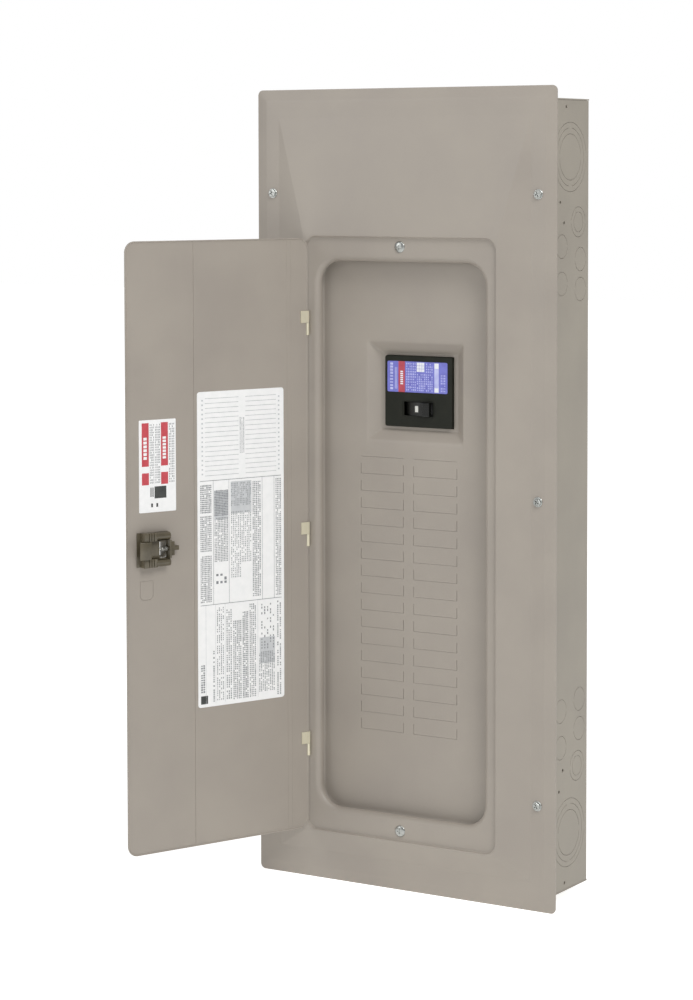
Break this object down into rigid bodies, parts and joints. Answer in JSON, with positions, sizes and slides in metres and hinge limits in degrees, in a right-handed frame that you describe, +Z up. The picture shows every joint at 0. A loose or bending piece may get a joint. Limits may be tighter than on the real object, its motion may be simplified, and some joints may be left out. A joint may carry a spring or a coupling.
{
  "type": "residential load center",
  "caption": "Steel wall box with a screwed trim, hinged door and sliding latch over a dead front with breaker twistouts, a main breaker with a swinging handle, and the bus interior behind it",
  "frame": {"origin": "centre of the box's flat back face", "axes": "+X is right seen from the front, +Y points into the wall (the front faces -Y), +Z is up"},
  "size_m": [0.3962, 0.3323, 0.884],
  "materials": {
    "box_paint": "taupe-grey powder coat, satin",
    "trim_paint": "taupe-grey powder coat, satin",
    "zinc_hardware": "bright zinc plate",
    "zinc_steel": "galvanised sheet",
    "breaker_case": "black moulded phenolic, satin",
    "latch_plastic": "dark bronze moulding",
    "spring_steel": "drawn wire",
    "plated_bus": "tin plate",
    "grey_support": "moulded polyester",
    "paper_label": "coated paper",
    "rating_label": "printed film",
    "copper": "bare copper",
    "aluminium": "extruded"
  },
  "bodies": {
    "enclosure": {"bonding_strap": "copper", "bottom_end_wall": "box_paint", "breaker_rail_left": "zinc_steel", "breaker_rail_right": "zinc_steel", "bus_bar_a": "plated_bus", "bus_bar_b": "plated_bus", "bus_support_lower": "grey_support", "bus_support_upper": "grey_support", "cover_screw_1": "zinc_hardware", "cover_screw_2": "zinc_hardware", "cover_screw_3": "zinc_hardware", "cover_screw_4": "zinc_hardware", "cover_screw_5": "zinc_hardware", "cover_screw_6": "zinc_hardware", "dead_front": "trim_paint", "dead_front_screw_bottom": "zinc_hardware", "dead_front_screw_top": "zinc_hardware", "enclosure_wrap": "box_paint", "ground_bar": "aluminium", "hinge_pin_lower": "zinc_hardware", "hinge_pin_middle": "zinc_hardware", "hinge_pin_upper": "zinc_hardware", "hinge_trim_leaf_lower": "zinc_hardware", "hinge_trim_leaf_middle": "zinc_hardware", "hinge_trim_leaf_upper": "zinc_hardware", "interior_pan": "zinc_steel", "interior_screw_1": "zinc_hardware", "interior_screw_2": "zinc_hardware", "interior_screw_3": "zinc_hardware", "interior_screw_4": "zinc_hardware", "line_lug_left": "aluminium", "line_lug_right": "aluminium", "main_breaker_base": "breaker_case", "main_breaker_cover": "breaker_case", "neutral_bar_left": "aluminium", "neutral_bar_right": "aluminium", "neutral_lug": "aluminium", "neutral_standoff_lower_left": "grey_support", "neutral_standoff_lower_right": "grey_support", "neutral_standoff_upper_left": "grey_support", "neutral_standoff_upper_right": "grey_support", "neutral_strap": "aluminium", "rating_label": "rating_label", "top_end_wall": "box_paint", "trim_cover": "trim_paint"},
    "door": {"caution_label": "paper_label", "directory_label": "paper_label", "door_panel": "trim_paint", "hinge_door_leaf_lower": "zinc_hardware", "hinge_door_leaf_middle": "zinc_hardware", "hinge_door_leaf_upper": "zinc_hardware", "latch_housing": "latch_plastic", "latch_spring": "spring_steel"},
    "latch_bolt": {"latch_slide": "latch_plastic"},
    "breaker_handle": {"main_breaker_handle": "breaker_case"}
  },
  "joints": [
    {"name": "door_hinge", "type": "hinge", "parent": "enclosure", "child": "door", "pos_m": [-0.1175, -0.1109, -0.0527], "axis": [0, 0, 1], "range_deg": [-48, 112.2]},
    {"name": "latch_travel", "type": "slide", "parent": "door", "child": "latch_bolt", "axis": [0.3778, 0.9259, 0], "range_m": [0, 0.006], "stiffness_N_per_m": 150, "springref_m": -0.003, "deforming": ["latch_spring"]},
    {"name": "main_breaker_throw", "type": "hinge", "parent": "enclosure", "child": "breaker_handle", "pos_m": [0.0081, -0.055, 0.0904], "axis": [0, 0, 1], "range_deg": [-43.6, 0]}
  ]
}
